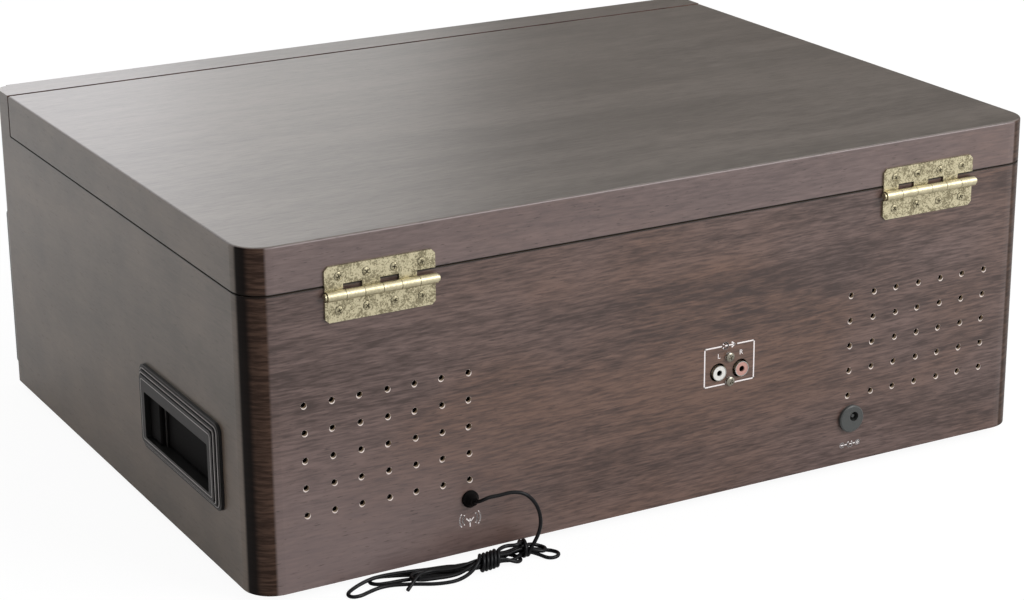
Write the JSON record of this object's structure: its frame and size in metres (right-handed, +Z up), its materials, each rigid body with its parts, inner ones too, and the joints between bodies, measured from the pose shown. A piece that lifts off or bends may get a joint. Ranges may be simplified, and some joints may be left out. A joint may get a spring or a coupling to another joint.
{
  "type": "stereo music centre",
  "caption": "Wood-cased stereo music centre with a record deck under a hinged lid, radio dial, disc drawer and side cassette slot.",
  "frame": {"origin": "on the floor under the middle of the box round the object without its wire", "axes": "+X across, to the right of someone facing the front; +Y to the back; +Z up"},
  "size_m": [0.479, 0.4026, 0.186],
  "materials": {
    "walnut_foil": "printed walnut grain foil, satin",
    "raw_board": "bare fibre board",
    "black_plastic": "moulded, fine texture",
    "gloss_black": "polished",
    "antique_brass": "mottled antique",
    "screw_steel": "plated",
    "grille_cloth": "woven speaker cloth",
    "cone_paper": "pressed paper",
    "basket_steel": "black paint",
    "clear_lens": "clear acrylic",
    "dial_cream": "printed scale",
    "pointer_red": "painted",
    "circuit_green": "solder mask",
    "knob_brass": "spun",
    "tray_grey": "moulded",
    "plated_sheet": "zinc plate",
    "platter_silver": "turned",
    "mat_felt": "felt",
    "belt_rubber": "ground",
    "foot_rubber": "moulded",
    "arm_silver": "satin",
    "cartridge_red": "moulded",
    "collar_colour": "white and red",
    "inlet_grey": "moulded",
    "wire_black": "thin insulation"
  },
  "bodies": {
    "cabinet": {"cabinet_shell": "walnut_foil", "bottom_board": "raw_board", "case_screws": "screw_steel", "rubber_feet": "foot_rubber", "front_board": "walnut_foil", "front_fascia": "gloss_black", "speaker_grilles": "grille_cloth", "speaker_baskets": "basket_steel", "speaker_cones": "cone_paper", "dial_window": "clear_lens", "dial_plate": "dial_cream", "control_boards": "circuit_green", "headphone_jack": "black_plastic", "cd_loader": "plated_sheet", "deck_plate": "black_plastic", "deck_rails": "raw_board", "platter_spindle": "screw_steel", "drive_belt": "belt_rubber", "turntable_motor": "plated_sheet", "arm_pillar": "black_plastic", "arm_rest": "black_plastic", "main_board": "circuit_green", "line_out_block": "black_plastic", "line_out_sleeves": "screw_steel", "line_out_collars": "collar_colour", "dc_jack": "inlet_grey", "antenna_gland": "black_plastic", "hinge_lower_leaves": "antique_brass", "hinge_pins": "antique_brass", "hinge_lower_screws": "antique_brass", "stay_bracket": "antique_brass", "cassette_bezel": "black_plastic", "cassette_chassis": "plated_sheet", "antenna_wire": "wire_black", "antenna_hank": "wire_black"},
    "lid": {"lid_panel": "walnut_foil", "lid_bumpers": "foot_rubber", "hinge_upper_leaves": "antique_brass", "hinge_upper_screws": "antique_brass", "stay_track": "antique_brass"},
    "lid_stay": {"lid_stay": "antique_brass"},
    "platter": {"platter": "platter_silver", "platter_mat": "mat_felt"},
    "motor_pulley": {"motor_pulley": "knob_brass"},
    "tonearm_yoke": {"tonearm_yoke": "black_plastic"},
    "tonearm": {"tonearm_tube": "arm_silver", "cartridge": "cartridge_red"},
    "cue_lever": {"cue_lever": "black_plastic"},
    "speed_lever": {"speed_lever": "black_plastic"},
    "volume_knob": {"volume_knob": "knob_brass"},
    "tuning_knob": {"tuning_knob": "knob_brass"},
    "function_knob": {"function_knob": "knob_brass"},
    "dial_pointer": {"dial_pointer": "pointer_red"},
    "power_button": {"power_button": "gloss_black"},
    "stop_button": {"stop_button": "gloss_black"},
    "play_button": {"play_button": "gloss_black"},
    "skip_button": {"skip_button": "gloss_black"},
    "cd_drawer": {"cd_drawer": "tray_grey"},
    "cassette_flap": {"cassette_flap": "gloss_black"},
    "cassette_key": {"cassette_key": "gloss_black"}
  },
  "joints": [
    {"name": "lid_hinge", "type": "hinge", "parent": "cabinet", "child": "lid", "pos_m": [0, 0.18915, 0.157], "axis": [-1, 0, 0], "range_deg": [0, 75]},
    {"name": "lid_stay_pivot", "type": "hinge", "parent": "cabinet", "child": "lid_stay", "pos_m": [0.2212, 0.11715, 0.157], "axis": [-1, 0, 0], "range_deg": [0, 150]},
    {"name": "platter_spin", "type": "hinge", "parent": "cabinet", "child": "platter", "pos_m": [-0.062, 0.00975, 0.1387], "axis": [0, 0, 1], "continuous": true},
    {"name": "pulley_spin", "type": "hinge", "parent": "cabinet", "child": "motor_pulley", "pos_m": [-0.12705, -0.0553, 0.1387], "axis": [0, 0, 1], "continuous": true},
    {"name": "tonearm_swing", "type": "hinge", "parent": "cabinet", "child": "tonearm_yoke", "pos_m": [0.10599, 0.08235, 0.1657], "axis": [0, 0, -1], "range_deg": [0, 48.5]},
    {"name": "tonearm_lift", "type": "hinge", "parent": "tonearm_yoke", "child": "tonearm", "pos_m": [0.10599, 0.08235, 0.1657], "axis": [-1, 0, 0], "range_deg": [0, 2.4]},
    {"name": "cue_lever_turn", "type": "hinge", "parent": "cabinet", "child": "cue_lever", "pos_m": [0.12799, 0.08235, 0.1522], "axis": [-1, 0, 0], "range_deg": [0, 40]},
    {"name": "speed_lever_slide", "type": "slide", "parent": "cabinet", "child": "speed_lever", "axis": [0, 1, 0], "range_m": [0, 0.014]},
    {"name": "volume_knob_turn", "type": "hinge", "parent": "cabinet", "child": "volume_knob", "pos_m": [-0.09, -0.17925, 0.086], "axis": [0, 1, 0], "range_deg": [-150, 150]},
    {"name": "tuning_knob_turn", "type": "hinge", "parent": "cabinet", "child": "tuning_knob", "pos_m": [0.09, -0.17925, 0.086], "axis": [0, 1, 0], "range_deg": [-170, 170]},
    {"name": "function_knob_turn", "type": "hinge", "parent": "cabinet", "child": "function_knob", "pos_m": [0.09, -0.17925, 0.042], "axis": [0, 1, 0], "range_deg": [-60, 60]},
    {"name": "dial_pointer_slide", "type": "slide", "parent": "cabinet", "child": "dial_pointer", "axis": [1, 0, 0], "range_m": [-0.055, 0.055]},
    {"name": "power_button_press", "type": "slide", "parent": "cabinet", "child": "power_button", "axis": [0, 1, 0], "range_m": [0, 0.002], "stiffness_N_per_m": 250},
    {"name": "stop_button_press", "type": "slide", "parent": "cabinet", "child": "stop_button", "axis": [0, 1, 0], "range_m": [0, 0.002], "stiffness_N_per_m": 250},
    {"name": "play_button_press", "type": "slide", "parent": "cabinet", "child": "play_button", "axis": [0, 1, 0], "range_m": [0, 0.002], "stiffness_N_per_m": 250},
    {"name": "skip_button_press", "type": "slide", "parent": "cabinet", "child": "skip_button", "axis": [0, 1, 0], "range_m": [0, 0.002], "stiffness_N_per_m": 250},
    {"name": "cd_drawer_slide", "type": "slide", "parent": "cabinet", "child": "cd_drawer", "axis": [0, -1, 0], "range_m": [0, 0.125]},
    {"name": "cassette_flap_swing", "type": "hinge", "parent": "cabinet", "child": "cassette_flap", "pos_m": [0.2335, 0.09775, 0.071], "axis": [0, 1, 0], "range_deg": [0, 70], "stiffness_Nm_per_rad": 0.002},
    {"name": "cassette_key_press", "type": "slide", "parent": "cabinet", "child": "cassette_key", "axis": [-1, 0, 0], "range_m": [0, 0.005], "stiffness_N_per_m": 250}
  ],
  "couplings": [
    {"joint": "lid_stay_pivot", "follows": "lid_hinge", "ratio": 2},
    {"joint": "pulley_spin", "follows": "platter_spin", "ratio": 10},
    {"joint": "cue_lever_turn", "follows": "tonearm_lift", "ratio": 16.667},
    {"joint": "dial_pointer_slide", "follows": "tuning_knob_turn", "m_per_rad": 0.018536}
  ]
}
